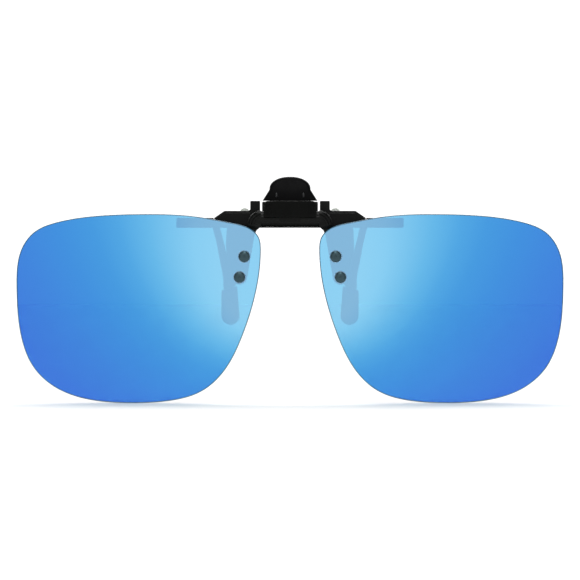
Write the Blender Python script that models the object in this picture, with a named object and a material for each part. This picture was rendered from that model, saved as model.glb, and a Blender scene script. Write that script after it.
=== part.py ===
"""Clip-on flip-up lenses: two mirrored lenses on a hinged bridge, held to eyeglasses by a sprung clamp.

Metres, +Z up, front at -Y, +X to the right as seen from the front.
The origin is the middle of the rear seat, which rests on the front of the eyeglasses, level with the flip hinge.
Dimensions below are in millimetres and are turned into metres where points are placed.
"""

import math

import bmesh
import bpy
import numpy as np
from mathutils import Vector

MM = 0.001
SIDES = (("left", -1), ("right", 1))
GAP = 0.3  # between neighbouring pieces
SNUG = 0.05  # between pieces that are held tight

# flip hinge, along X
FLIP_Y = -4.5
FLIP_Z = 0.0
BARREL_R = 2.05
BARREL_END = 8.4
FLIP_PIN_R = 0.5
KNUCKLE_R = 1.1
KNUCKLE = (3.2, 4.4)  # from the middle, along X

# clamp hinge, along X
CLAMP_Y = 3.0
CLAMP_Z = 2.6
CLAMP_PIN_R = 0.6
EAR_R = 1.4
EAR = (4.6, 6.2)
JAW_KNUCKLE = (2.9, 4.3)
BORE_PLAY = 0.06

# hinge block in the middle
BLOCK_HALF = 7.15
BLOCK_TOP = 4.6
SPINE_TOP = 4.4
COVER_HALF = 6.75
BLOCK_FRONT = -7.5
COVER_THICK = 0.65
SEAM_Z = 0.4
CORNER_R = 1.1

# front arms and their bars
ARM_FRONT = -2.2
ARM_BACK = -0.8
ARM_TOP = 2.05
ARM_LOW = -2.3
ARM_END = 19.4
BAR_END = 29.1
BAR_TOP = 0.25
POST = (7.65, 10.2)
STOP_X = (12.6, 15.0)

# lens bridge
ELBOW_X = 6.8
ELBOW_Z = -1.8
ELBOW_R = 4.15
ELBOW_TOP = 2.15
BRIDGE_INNER = BLOCK_HALF + GAP
TAB_FRONT = -5.8
TAB_BACK = -4.3
TAB_END_R = 1.95
RIVETS = ((11.7, -9.6), (12.9, -14.9))
RIVET_HOLE_R = 0.75
RIVET_SHANK_R = 0.6
RIVET_HEAD_R = 1.43
WASHER_R = 1.65

# lenses
LENS_BACK = -6.1
LENS_THICK = 1.0
LENS_CURVE_R = 300.0
LENS_POLE = (12.3, -12.25)
LENS_CENTRE = (38.8, -22.5)
LENS_EDGE = (
    (7.45, -8.25), (8.05, -4.55), (10.0, -2.6), (15.0, -1.0), (24.0, 0.6), (38.0, 1.23), (50.0, 0.72),
    (60.0, -0.94), (65.5, -3.35), (68.6, -7.25), (70.1, -17.75), (69.0, -29.95), (65.9, -37.85),
    (60.0, -43.31), (51.0, -46.4), (40.0, -47.15), (30.0, -46.45), (22.5, -44.05), (16.3, -38.15),
    (12.3, -30.25), (9.0, -19.95),
)
LENS_EDGE_STEPS = 60
LENS_RINGS = (0.9, 0.68, 0.36)

# rear jaw
JAW_TOP = 1.2
JAW_LOW = -1.5
JAW_FRONT = 6.0
JAW_BACK = 7.4
FOOT_FRONT = 1.2
FOOT_BACK = 3.3
FOOT_CENTRE = (15.2, -24.8)
THUMB_LEAN = math.radians(12)
THUMB_BASE = 4.7
THUMB_TOP = 10.8
THUMB_HALF = 5.3
THUMB_BULGE_Z = 7.6
SKIRT_HALF = 7.1
SKIRT_Z = 4.6
THUMB_LOW = 4.4
THUMB_FRONT = 3.1
THUMB_THICK = 2.6
TONGUE_HALF = 3.4
TONGUE_TOP = 8.9
TONGUE_FRONT = 4.0
TONGUE_BACK = 4.9


# ---- shared modelling steps ----

def clear_scene():
    """Remove every object of the open scene."""
    for thing in list(bpy.data.objects):
        bpy.data.objects.remove(thing)


def place(u, v, w, axis):
    """Return the point, in metres, at (u, v) on the plane across an axis and at w along it."""
    point = {"X": (w, u, v), "Y": (u, w, v), "Z": (u, v, w)}[axis]
    return Vector(point) * MM


def add_object(name, shape):
    """Turn a bmesh into a named object with outward faces."""
    bmesh.ops.recalc_face_normals(shape, faces=shape.faces)
    mesh = bpy.data.meshes.new(name)
    shape.to_mesh(mesh)
    shape.free()
    thing = bpy.data.objects.new(name, mesh)
    bpy.context.collection.objects.link(thing)
    return thing


def prism(name, outline, low, high, axis):
    """Extrude a closed outline along an axis, from low to high."""
    shape = bmesh.new()
    base = shape.faces.new([shape.verts.new(place(u, v, low, axis)) for u, v in outline])
    grown = bmesh.ops.extrude_face_region(shape, geom=[base])
    moved = [item for item in grown["geom"] if isinstance(item, bmesh.types.BMVert)]
    bmesh.ops.translate(shape, verts=moved, vec=place(0, 0, high - low, axis))
    return add_object(name, shape)


def side_prism(name, outline, span, side):
    """Extrude an outline along X between two distances from the middle, on one side."""
    low, high = sorted((side * span[0], side * span[1]))
    return prism(name, outline, low, high, "X")


def block(name, x_span, y_span, z_span):
    """Make a plain box."""
    return prism(name, rectangle(x_span, z_span), y_span[0], y_span[1], "Y")


def circle(u, v, radius, sides=24):
    """Return a circle's outline."""
    turns = [2 * math.pi * step / sides for step in range(sides)]
    return [(u + radius * math.cos(turn), v + radius * math.sin(turn)) for turn in turns]


def arc(u, v, radius, start, end, steps=8):
    """Return an arc's points, from a start angle to an end angle in degrees."""
    turns = [math.radians(start + (end - start) * step / steps) for step in range(steps + 1)]
    return [(u + radius * math.cos(turn), v + radius * math.sin(turn)) for turn in turns]


def rounded(corners, steps=4):
    """Return a closed outline from (u, v, radius) corners, with an arc at each radius."""
    points = []
    for index, (u, v, radius) in enumerate(corners):
        here = np.array((u, v), float)
        if radius == 0:
            points.append((u, v))
            continue
        back = np.array(corners[index - 1][:2]) - here
        ahead = np.array(corners[(index + 1) % len(corners)][:2]) - here
        back /= np.linalg.norm(back)
        ahead /= np.linalg.norm(ahead)
        half = math.acos(float(back @ ahead)) / 2
        middle = (back + ahead) / np.linalg.norm(back + ahead)
        centre = here + middle * radius / math.sin(half)
        first = here + back * radius / math.tan(half) - centre
        last = here + ahead * radius / math.tan(half) - centre
        start = math.atan2(first[1], first[0])
        turn = math.atan2(first[0] * last[1] - first[1] * last[0], float(first @ last))
        for step in range(steps + 1):
            angle = start + turn * step / steps
            points.append((centre[0] + radius * math.cos(angle), centre[1] + radius * math.sin(angle)))
    return points


def sharp(points):
    """Return points as corners with no radius."""
    return [(u, v, 0) for u, v in points]


def rectangle(u_span, v_span, radius=0.0):
    """Return a rectangle's outline, with rounded corners if a radius is given."""
    return rounded([(u_span[0], v_span[0], radius), (u_span[1], v_span[0], radius),
                    (u_span[1], v_span[1], radius), (u_span[0], v_span[1], radius)])


def mirrored(outline, side):
    """Return an outline with its first coordinate on one side of the middle."""
    return [(side * u, v) for u, v in outline]


def turned(name, profile, u, v, axis="Y", sides=24):
    """Revolve a profile of (radius, distance along the axis) points, which starts and ends on the axis."""
    shape = bmesh.new()
    ends = [shape.verts.new(place(u, v, profile[end][1], axis)) for end in (0, -1)]
    rings = [[shape.verts.new(place(*point, along, axis)) for point in circle(u, v, radius, sides)]
             for radius, along in profile[1:-1]]
    for step in range(sides):
        after = (step + 1) % sides
        shape.faces.new((ends[0], rings[0][step], rings[0][after]))
        shape.faces.new((ends[1], rings[-1][after], rings[-1][step]))
        for near, far in zip(rings, rings[1:]):
            shape.faces.new((near[step], far[step], far[after], near[after]))
    return add_object(name, shape)


def combine(target, tool, operation):
    """Join the tool to the target, cut it out or keep what they share, and drop the tool."""
    step = target.modifiers.new(operation.lower(), "BOOLEAN")
    step.operation = operation
    step.solver = "EXACT"
    step.object = tool
    bpy.context.view_layer.update()
    graph = bpy.context.evaluated_depsgraph_get()
    result = bpy.data.meshes.new_from_object(target.evaluated_get(graph))
    target.modifiers.clear()
    target.data = result
    bpy.data.objects.remove(tool)
    return target


def join(target, *tools):
    """Union solids that overlap into one."""
    for tool in tools:
        combine(target, tool, "UNION")
    return target


def cut(target, *tools):
    """Cut solids out of the target."""
    for tool in tools:
        combine(target, tool, "DIFFERENCE")
    return target


def material(name, colour, roughness, metallic=0.0, alpha=1.0):
    """Make a Principled material."""
    surface = bpy.data.materials.new(name)
    surface.use_nodes = True
    shader = surface.node_tree.nodes["Principled BSDF"]
    shader.inputs["Base Color"].default_value = (*colour, 1.0)
    shader.inputs["Roughness"].default_value = roughness
    shader.inputs["Metallic"].default_value = metallic
    shader.inputs["Alpha"].default_value = alpha
    return surface


def finish(thing, surface, pivot=None):
    """Give a piece its name's mesh, material, smooth round faces and parent."""
    thing.data.name = thing.name
    thing.data.materials.clear()
    thing.data.materials.append(surface)
    thing.data.shade_smooth()
    thing.data.set_sharp_from_angle(angle=math.radians(30))
    if pivot is not None:
        thing.parent = pivot
        thing.matrix_parent_inverse = pivot.matrix_world.inverted()
    return thing


def pivot_empty(name, y, z):
    """Make the empty that stands on a hinge's axis."""
    empty = bpy.data.objects.new(name, None)
    empty.location = place(y, z, 0, "X")
    bpy.context.collection.objects.link(empty)
    bpy.context.view_layer.update()
    return empty


# ---- fixed front: body, cover, arms ----

def arm_outline():
    """Return the front outline of both arms, from end to end."""
    right = rounded([(ARM_END, ARM_LOW, 0), (ARM_END, BAR_TOP, 0), (16.8, ARM_TOP, 0.8), (10.6, ARM_TOP, 0)])
    foot = arc(POST[1] + 0.7, ARM_TOP + 0.7, 0.7, 270, 180, 4)
    top = right + foot[1:] + [(POST[1], BLOCK_TOP), (POST[0], BLOCK_TOP), (POST[0], ARM_TOP)]
    return top + mirrored(reversed(top), -1)


def ear_outline():
    """Return the side outline of an ear, from the spine to round the clamp pin."""
    return [(-0.6, CLAMP_Z + EAR_R), (-0.6, CLAMP_Z - EAR_R)] + arc(CLAMP_Y, CLAMP_Z, EAR_R, -90, 90, 10)


def stop_outline():
    """Return the side outline of a stop, which hangs from an arm and meets the back of a lens tab."""
    tip = TAB_BACK + GAP
    root = ARM_FRONT + 0.4
    return [(root, -1.2), (root, -4.6), (tip, -4.6), (tip, -3.5), (-3.1, -2.0), (-3.1, -1.2)]


def clip_body():
    """Make the fixed front: spine, shelf over the barrel, arms with posts, bar cores, knuckles and ears."""
    spine = [(-BLOCK_HALF, -2.0, 0), (BLOCK_HALF, -2.0, 0),
             (BLOCK_HALF, SPINE_TOP, 0.3), (-BLOCK_HALF, SPINE_TOP, 0.3)]
    body = prism("clip_body", rounded(spine), ARM_FRONT, -GAP, "Y")
    shelf_half = COVER_HALF - 0.35 - GAP
    shelf_front = BLOCK_FRONT + COVER_THICK + GAP
    shelf = [(-shelf_half, 2.5, 0), (shelf_half, 2.5, 0),
             (shelf_half, BLOCK_TOP, CORNER_R), (-shelf_half, BLOCK_TOP, CORNER_R)]
    join(body, prism("shelf", rounded(shelf), shelf_front, ARM_FRONT + 0.4, "Y"))
    join(body, prism("seat", rectangle((-5.8, 5.8), (-1.8, 0.8), 0.4), -0.6, 0.0, "Y"))
    join(body, prism("arms", arm_outline(), ARM_FRONT, ARM_BACK, "Y"))
    for label, side in SIDES:
        core_x = sorted((side * (ARM_END - 0.5), side * (BAR_END - 0.8)))
        join(body, side_prism("stop", stop_outline(), STOP_X, side))
        join(body, block("core", core_x, (-1.6, ARM_BACK - 0.02), (-1.6, -0.45)))
        neck = [(ARM_FRONT + 0.4, -0.8), (ARM_FRONT + 0.4, 0.8)]
        loop = neck + arc(FLIP_Y, FLIP_Z, KNUCKLE_R, 47, 313, 16)
        join(body, side_prism("knuckle", loop, KNUCKLE, side))
        join(body, side_prism("ear", ear_outline(), EAR, side))
    cut(body, prism("bore", circle(FLIP_Y, FLIP_Z, FLIP_PIN_R + BORE_PLAY), -5.0, 5.0, "X"))
    cut(body, prism("bore", circle(CLAMP_Y, CLAMP_Z, CLAMP_PIN_R + BORE_PLAY), -7.0, 7.0, "X"))
    cut(body, block("pocket", (-2.7, 2.7), (-6.2, -2.6), (2.0, 3.5)))
    return body


def hinge_cover():
    """Make the front cover with its two cheeks, clear of the barrel below."""
    face = [(-COVER_HALF, SEAM_Z, 0), (COVER_HALF, SEAM_Z, 0),
            (COVER_HALF, BLOCK_TOP, CORNER_R), (-COVER_HALF, BLOCK_TOP, CORNER_R)]
    cover = prism("hinge_cover", rounded(face), BLOCK_FRONT, BLOCK_FRONT + COVER_THICK, "Y")
    for label, side in SIDES:
        cheek_x = sorted((side * (COVER_HALF - 0.02), side * (COVER_HALF - 0.35)))
        join(cover, block("cheek", cheek_x, (BLOCK_FRONT + 0.3, -4.6), (2.4, BLOCK_TOP - CORNER_R)))
    return cover


def detent_leaf():
    """Make the bowed leaf spring that bears on the barrel's flats."""
    outer = arc(FLIP_Y, 4.2, 1.85, 220, 320, 10)
    inner = arc(FLIP_Y, 4.2, 1.65, 320, 220, 10)
    return prism("detent_leaf", outer + inner, -2.3, 2.3, "X")


def bar_sleeve(label, side):
    """Make the rubber sleeve on one front bar, open at its inner end."""
    outline = rectangle((ARM_FRONT, 0.0), (ARM_LOW, BAR_TOP), 0.35)
    sleeve = side_prism("bar_sleeve_" + label, outline, (ARM_END + 0.1, BAR_END), side)
    pocket_x = sorted((side * (ARM_END - 0.2), side * (BAR_END - 0.65)))
    return cut(sleeve, block("pocket", pocket_x, (-1.75, -0.67), (-1.75, -0.3)))


def rim_pad(label, side):
    """Make the clear silicone pad behind one arm, with its domed top above the arm."""
    dome = arc(11.6, 1.45, 1.3, 0, 180, 12)
    outline = [(10.3, -1.6), (12.9, -1.6)] + dome
    return prism("rim_pad_" + label, mirrored(outline, side), ARM_BACK + SNUG, 0.0, "Y")


# ---- flip-up pieces ----

def bridge_side(side):
    """Make one elbow with its lens tab, from a front outline and a side outline."""
    low_x, low_z = RIVETS[1]
    front = rounded(
        sharp(arc(ELBOW_X, ELBOW_Z, ELBOW_R, 85.0, 3.0, 12))
        + [(11.4, -2.2, 0), (16.2, -2.2, 0.6), (16.4, -7.7, 3.0)]
        + sharp(arc(low_x, low_z, TAB_END_R, -12, -170, 12))
        + [(9.06, -4.1, 1.0), (8.5, -2.9, 0.5), (BRIDGE_INNER, -2.05, 0)]
    )
    arm = prism("elbow", mirrored(front, side), -9.0, 0.0, "Y")
    profile = rounded(
        [(TAB_FRONT, -20.0, 0), (TAB_BACK, -20.0, 0), (TAB_BACK, -3.2, 0.5)]
        + sharp(arc(FLIP_Y, FLIP_Z, BARREL_R, -60, 90, 12))
        + [(FLIP_Y - 0.3, ELBOW_TOP, 0), (FLIP_Y - 2.1, ELBOW_TOP, 1.3), (FLIP_Y - 2.1, -0.7, 0.2),
           (TAB_FRONT, -1.9, 0)]
    )
    return combine(arm, side_prism("profile", profile, (BRIDGE_INNER, 20.0), side), "INTERSECT")


def slot_outline():
    """Return the side outline of a barrel slot: a round bore, open from below the rear to past the top."""
    mouth = arc(FLIP_Y, FLIP_Z, BARREL_R + 1.0, -42, 132, 8)
    return arc(FLIP_Y, FLIP_Z, KNUCKLE_R + 0.25, 132, 318, 14) + mouth


def lens_bridge():
    """Make the barrel with both elbows and tabs, slots for the knuckles, pin bore and rivet holes."""
    bridge = prism("lens_bridge", circle(FLIP_Y, FLIP_Z, BARREL_R, 32), -BARREL_END, BARREL_END, "X")
    for label, side in SIDES:
        join(bridge, bridge_side(side))
        slot = (KNUCKLE[0] - 0.2, KNUCKLE[1] + 0.2)
        cut(bridge, side_prism("slot", slot_outline(), slot, side))
        for x, z in RIVETS:
            cut(bridge, prism("hole", circle(side * x, z, RIVET_HOLE_R), -7.0, -3.0, "Y"))
    flat = BARREL_R - 0.15
    cut(bridge, block("top_flat", (-2.7, 2.7), (-7.0, -2.0), (flat, 3.0)))
    cut(bridge, block("front_flat", (-2.7, 2.7), (-7.5, FLIP_Y - flat), (-2.0, 2.0)))
    cut(bridge, prism("bore", circle(FLIP_Y, FLIP_Z, FLIP_PIN_R + BORE_PLAY), -8.35, 8.35, "X"))
    return bridge


def smooth_loop(anchors, count):
    """Return evenly spaced points on the closed cubic spline through the anchors."""
    knots = np.array(anchors, float)
    chord = np.linalg.norm(np.roll(knots, -1, axis=0) - knots, axis=1)
    before = np.roll(chord, 1)
    size = len(knots)
    rows = np.zeros((size, size))
    steps = (np.roll(knots, -1, axis=0) - knots) / chord[:, None]
    for index in range(size):
        rows[index, index - 1] = before[index]
        rows[index, index] = 2 * (before[index] + chord[index])
        rows[index, (index + 1) % size] = chord[index]
    bend = np.linalg.solve(rows, 6 * (steps - np.roll(steps, 1, axis=0)))
    dense = []
    for index in range(size):
        after = (index + 1) % size
        for part in np.linspace(0, 1, 40, endpoint=False):
            near, far = (1 - part), part
            curve = ((near ** 3 - near) * bend[index] + (far ** 3 - far) * bend[after]) * chord[index] ** 2 / 6
            dense.append(near * knots[index] + far * knots[after] + curve)
    dense = np.array(dense + dense[:1])
    travelled = np.r_[0, np.cumsum(np.linalg.norm(np.diff(dense, axis=0), axis=1))]
    wanted = np.linspace(0, travelled[-1], count, endpoint=False)
    return [(np.interp(at, travelled, dense[:, 0]), np.interp(at, travelled, dense[:, 1])) for at in wanted]


def lens_depth(x, z):
    """Return how far the lens curves back at a point, as a sphere about its pole."""
    reach = math.hypot(x - LENS_POLE[0], z - LENS_POLE[1])
    return LENS_CURVE_R - math.sqrt(LENS_CURVE_R ** 2 - reach ** 2)


def lens(label, side):
    """Make one curved lens with its two rivet holes."""
    shape = bmesh.new()
    edge = smooth_loop(LENS_EDGE, LENS_EDGE_STEPS)
    faces = []
    for back in (LENS_BACK, LENS_BACK - LENS_THICK):
        rings = []
        for scale in (1.0, *LENS_RINGS):
            points = [(LENS_CENTRE[0] + scale * (x - LENS_CENTRE[0]),
                       LENS_CENTRE[1] + scale * (z - LENS_CENTRE[1])) for x, z in edge]
            rings.append([shape.verts.new(place(side * x, z, back + lens_depth(x, z), "Y")) for x, z in points])
        middle = shape.verts.new(place(side * LENS_CENTRE[0], LENS_CENTRE[1],
                                       back + lens_depth(*LENS_CENTRE), "Y"))
        faces.append(rings[0])
        for step in range(LENS_EDGE_STEPS):
            after = (step + 1) % LENS_EDGE_STEPS
            for outer, inner in zip(rings, rings[1:]):
                shape.faces.new((outer[step], outer[after], inner[after], inner[step]))
            shape.faces.new((rings[-1][step], rings[-1][after], middle))
    for step in range(LENS_EDGE_STEPS):
        after = (step + 1) % LENS_EDGE_STEPS
        shape.faces.new((faces[0][step], faces[0][after], faces[1][after], faces[1][step]))
    glass = add_object("lens_" + label, shape)
    for x, z in RIVETS:
        cut(glass, prism("hole", circle(side * x, z, RIVET_HOLE_R), -9.0, -5.0, "Y"))
    return glass


def rivet(name, x, z):
    """Make a rivet with a low domed head in front and a shank through lens and tab."""
    seat = LENS_BACK - LENS_THICK - 0.2 - 2 * SNUG
    head = [(RIVET_HEAD_R, seat), (RIVET_HEAD_R, seat - 0.25), (1.1, seat - 0.47), (0.55, seat - 0.55)]
    tail = TAB_BACK + 0.75
    profile = [(0, tail), (RIVET_SHANK_R, tail), (RIVET_SHANK_R, seat), *head, (0, seat - 0.56)]
    return turned(name, profile, x, z)


def washer(name, x, z):
    """Make the clear washer between a rivet's head and the lens."""
    front = LENS_BACK - LENS_THICK - SNUG
    ring = prism(name, circle(x, z, WASHER_R, 28), front - 0.2, front, "Y")
    return cut(ring, prism("hole", circle(x, z, RIVET_HOLE_R), front - 1.0, front + 1.0, "Y"))


def nut(name, x, z):
    """Make the hexagonal nut behind the tab."""
    near = TAB_BACK + SNUG
    hexagon = prism(name, circle(x, z, 1.35, 6), near, near + 0.7, "Y")
    return cut(hexagon, prism("hole", circle(x, z, RIVET_SHANK_R + BORE_PLAY), near - 1.0, near + 2.0, "Y"))


# ---- rear jaw ----

def leaned(y, z):
    """Return a point of the thumb tab, leaned back about its base."""
    rise = z - THUMB_BASE
    return (y + rise * math.tan(THUMB_LEAN), z)


def leg_outline():
    """Return the front outline of one half of the jaw: half the crossbar, the leg and the foot's core."""
    foot_low = FOOT_CENTRE[1] - 1.7
    return rounded([
        (3.0, JAW_LOW, 0), (3.0, JAW_TOP, 0), (15.5, JAW_TOP, 1.5), (18.4, 0.35, 1.0), (20.2, -1.1, 0.6),
        (18.9, -6.0, 8.0), (17.1, -15.3, 6.0), (17.1, -17.9, 0), (16.9, -18.2, 0),
        (16.9, foot_low, 1.5), (13.5, foot_low, 1.5), (14.25, -17.4, 0), (13.85, -16.9, 0),
        (16.6, -7.7, 8.0), (18.2, JAW_LOW, 0.8),
    ])


def lever_jaw():
    """Make the rear jaw: knuckles, web, crossbar, two legs and the tongue of the thumb tab."""
    web = [
        (5.2, 4.0), (5.9, 3.1), (6.7, 2.0), (JAW_BACK, JAW_TOP), (JAW_BACK, JAW_LOW),
        (JAW_FRONT, JAW_LOW), (JAW_FRONT, 0.4), (5.4, 1.6), (4.55, 2.5), (4.55, 3.4), (4.25, 4.0),
    ]
    jaw = prism("lever_jaw", web, -JAW_KNUCKLE[1], JAW_KNUCKLE[1], "X")
    tongue = [leaned(TONGUE_FRONT, TONGUE_TOP), leaned(TONGUE_BACK, TONGUE_TOP),
              (TONGUE_BACK, THUMB_BASE), (5.3, 3.7), (4.5, 3.5), (TONGUE_FRONT, 4.5)]
    join(jaw, prism("tongue", tongue, -TONGUE_HALF, TONGUE_HALF, "X"))
    side_view = rounded([
        (JAW_FRONT, JAW_TOP + 1.0, 0), (JAW_FRONT, -2.4, 2.0), (FOOT_FRONT + 0.55, -16.6, 3.0),
        (FOOT_FRONT + 0.55, -30.0, 0), (FOOT_BACK - 0.55, -30.0, 0), (FOOT_BACK - 0.55, -16.6, 3.0),
        (JAW_BACK, -2.0, 2.0), (JAW_BACK, JAW_TOP + 1.0, 0),
    ])
    for label, side in SIDES:
        leg = prism("leg", mirrored(leg_outline(), side), 0.0, 9.0, "Y")
        combine(leg, side_prism("profile", side_view, (2.0, 22.0), side), "INTERSECT")
        join(jaw, leg)
        lug = [(4.9, 1.9), (4.9, 3.3)] + arc(CLAMP_Y, CLAMP_Z, 1.2, 50, 310, 14)
        join(jaw, side_prism("knuckle", lug, JAW_KNUCKLE, side))
    bore = circle(CLAMP_Y, CLAMP_Z, CLAMP_PIN_R + BORE_PLAY)
    return cut(jaw, prism("bore", bore, -5.0, 5.0, "X"))


def thumb_outline():
    """Return the front outline of the thumb tab: a dome above a flared skirt."""
    dome = []
    for step in range(25):
        turn = math.pi * step / 24
        bulge = (abs(math.cos(turn)) ** 0.93, abs(math.sin(turn)) ** 0.93)
        x = math.copysign(THUMB_HALF * bulge[0], math.cos(turn))
        dome.append((x, THUMB_BULGE_Z + (THUMB_TOP - THUMB_BULGE_Z) * bulge[1]))
    wing = [(THUMB_HALF - 0.2, THUMB_LOW), (THUMB_HALF, SKIRT_Z), (SKIRT_HALF, SKIRT_Z), (SKIRT_HALF, SKIRT_Z + 0.12)]
    return mirrored(reversed(wing), -1) + wing + dome


def thumb_cap():
    """Make the soft cap over the jaw's tongue, with two grip ribs on its front."""
    cap = prism("thumb_cap", thumb_outline(), -1.0, 12.0, "Y")
    back = THUMB_FRONT + THUMB_THICK
    side_view = [leaned(THUMB_FRONT, 4.0), leaned(THUMB_FRONT, 10.2), leaned(THUMB_FRONT + 0.5, 11.5),
                 leaned(back - 0.5, 11.5), leaned(back, 10.2), leaned(back, 4.0)]
    combine(cap, prism("profile", side_view, -8.0, 8.0, "X"), "INTERSECT")
    for label, side in SIDES:
        rib_x = sorted((side * 3.15, side * 3.65))
        rib = [leaned(THUMB_FRONT - 0.2, 5.3), leaned(THUMB_FRONT - 0.2, 6.5),
               leaned(THUMB_FRONT + 0.3, 6.7), leaned(THUMB_FRONT + 0.3, 5.1)]
        join(cap, prism("rib", rib, rib_x[0], rib_x[1], "X"))
    near, far, top = TONGUE_FRONT - 0.15, TONGUE_BACK + 0.15, TONGUE_TOP + 0.15
    pocket = [(near, 4.0), (near, THUMB_BASE), leaned(near, top), leaned(far, top),
              (far, THUMB_BASE), (5.5, 4.0)]
    return cut(cap, prism("pocket", pocket, -TONGUE_HALF - 0.15, TONGUE_HALF + 0.15, "X"))


def leg_sleeve(label, side):
    """Make the rubber foot on one leg, open at its top."""
    x, z = FOOT_CENTRE
    outline = rounded([(13.55, -17.3, 0.2), (x + 2.4, -18.4, 0.3), (x + 2.4, z - 2.4, 2.25),
                       (x - 2.4, z - 2.4, 2.25)], 6)
    sleeve = prism("leg_sleeve_" + label, mirrored(outline, side), FOOT_FRONT, FOOT_BACK, "Y")
    hollow = rounded([(14.05, -16.5, 0), (17.35, -16.5, 0), (x + 1.85, -18.6, 0),
                      (x + 1.85, z - 1.85, 1.6), (x - 1.85, z - 1.85, 1.6)], 6)
    pocket = prism("pocket", mirrored(hollow, side), FOOT_FRONT + 0.4, FOOT_BACK - 0.4, "Y")
    return cut(sleeve, pocket)


# ---- clamp hinge ----

def clamp_pin():
    """Make the pin through ears and knuckles."""
    return prism("clamp_pin", circle(CLAMP_Y, CLAMP_Z, CLAMP_PIN_R), -6.75, 6.75, "X")


def clamp_clip(label, side):
    """Make the retaining ring on one end of the clamp pin."""
    ring = side_prism("clamp_clip_" + label, circle(CLAMP_Y, CLAMP_Z, 1.1), (EAR[1] + SNUG, EAR[1] + 0.35), side)
    return cut(ring, prism("hole", circle(CLAMP_Y, CLAMP_Z, CLAMP_PIN_R + 0.03), -8.0, 8.0, "X"))


def torsion_spring():
    """Make the spring round the clamp pin, with one leg on the spine and one on the jaw's web."""
    coil_r, half, turns = 0.95, 2.2, 7.25
    points = [(-half, -0.02, CLAMP_Z - coil_r), (-half, 1.5, CLAMP_Z - coil_r)]
    count = int(turns * 12)
    for step in range(count + 1):
        angle = math.radians(-90 + 360 * turns * step / count)
        x = -half + 2 * half * step / count
        points.append((x, CLAMP_Y + coil_r * math.cos(angle), CLAMP_Z + coil_r * math.sin(angle)))
    points.append((half, CLAMP_Y + coil_r, CLAMP_Z + 1.05))
    curve = bpy.data.curves.new("torsion_spring", "CURVE")
    curve.dimensions = "3D"
    curve.bevel_depth = 0.2 * MM
    curve.bevel_resolution = 1
    curve.use_fill_caps = True
    wire = curve.splines.new("POLY")
    wire.points.add(len(points) - 1)
    for knot, point in zip(wire.points, points):
        knot.co = (*(Vector(point) * MM), 1.0)
    thing = bpy.data.objects.new("torsion_spring", curve)
    bpy.context.collection.objects.link(thing)
    return thing


def main():
    clear_scene()
    plastic = material("moulded_black", (0.020, 0.021, 0.020), 0.38)
    soft = material("soft_touch_black", (0.014, 0.014, 0.016), 0.55)
    rubber = material("rubber_black", (0.022, 0.023, 0.024), 0.7)
    silicone = material("clear_silicone", (0.62, 0.66, 0.60), 0.3, alpha=0.6)
    mirror_blue = material("blue_mirror", (0.10, 0.36, 0.82), 0.06, metallic=0.7, alpha=0.9)
    head_steel = material("dark_steel", (0.055, 0.085, 0.11), 0.35, metallic=0.9)
    steel = material("bright_steel", (0.55, 0.56, 0.57), 0.3, metallic=1.0)
    clear = material("clear_nylon", (0.85, 0.92, 0.97), 0.2, alpha=0.4)

    flip = pivot_empty("flip_axis", FLIP_Y, FLIP_Z)
    clamp = pivot_empty("clamp_axis", CLAMP_Y, CLAMP_Z)

    finish(clip_body(), plastic)
    finish(hinge_cover(), plastic)
    finish(detent_leaf(), steel)
    finish(prism("hinge_pin", circle(FLIP_Y, FLIP_Z, FLIP_PIN_R), -8.2, 8.2, "X"), steel)
    finish(clamp_pin(), steel)
    spring = torsion_spring()
    spring.data.materials.append(steel)
    finish(lens_bridge(), plastic, flip)
    finish(lever_jaw(), plastic, clamp)
    finish(thumb_cap(), soft, clamp)
    for label, side in SIDES:
        finish(bar_sleeve(label, side), rubber)
        finish(rim_pad(label, side), silicone)
        finish(clamp_clip(label, side), steel)
        finish(lens(label, side), mirror_blue, flip)
        finish(leg_sleeve(label, side), rubber, clamp)
        for level, (x, z) in zip(("upper", "lower"), RIVETS):
            place_name = level + "_" + label
            finish(rivet("rivet_" + place_name, side * x, z), head_steel, flip)
            finish(washer("washer_" + place_name, side * x, z), clear, flip)
            finish(nut("nut_" + place_name, side * x, z), steel, flip)


main()
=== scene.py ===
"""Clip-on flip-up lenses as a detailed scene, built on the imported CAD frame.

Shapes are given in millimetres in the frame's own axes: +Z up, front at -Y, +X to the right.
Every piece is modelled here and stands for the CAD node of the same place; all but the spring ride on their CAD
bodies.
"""

import math

import bmesh
import bpy
import numpy as np
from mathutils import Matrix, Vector


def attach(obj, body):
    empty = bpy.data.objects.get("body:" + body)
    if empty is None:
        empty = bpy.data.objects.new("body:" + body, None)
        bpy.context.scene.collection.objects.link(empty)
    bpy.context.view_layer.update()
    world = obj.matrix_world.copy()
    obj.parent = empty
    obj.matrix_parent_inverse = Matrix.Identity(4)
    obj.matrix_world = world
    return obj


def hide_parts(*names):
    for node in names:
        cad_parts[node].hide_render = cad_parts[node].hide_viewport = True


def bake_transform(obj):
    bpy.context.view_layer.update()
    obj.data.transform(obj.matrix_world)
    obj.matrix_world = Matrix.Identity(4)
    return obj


MM = 0.001
SIDES = (("left", -1), ("right", 1))

# flip hinge and clamp hinge, both along X
FLIP_Y, FLIP_Z, BARREL_R = -4.5, 0.0, 2.05
CLAMP_Y, CLAMP_Z = 3.0, 2.6
FLIP_PIN_R, CLAMP_PIN_R, BORE_GAP = 0.5, 0.6, 0.06

# hinge block, arms and bars
BLOCK_HALF, BLOCK_TOP, BLOCK_FRONT = 7.15, 4.6, -7.5
SPINE_TOP, COVER_HALF, CORNER_R = 4.4, 6.75, 1.1
ARM_FRONT, ARM_BACK, ARM_TOP, ARM_LOW, ARM_END = -2.2, -0.8, 2.05, -2.3, 19.4
POST = (7.65, 10.2)
ARM_RIDGE, ARM_STEP = 1.62, 0.3
BAR_END, BAR_TOP = 29.1, 0.25

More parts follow.
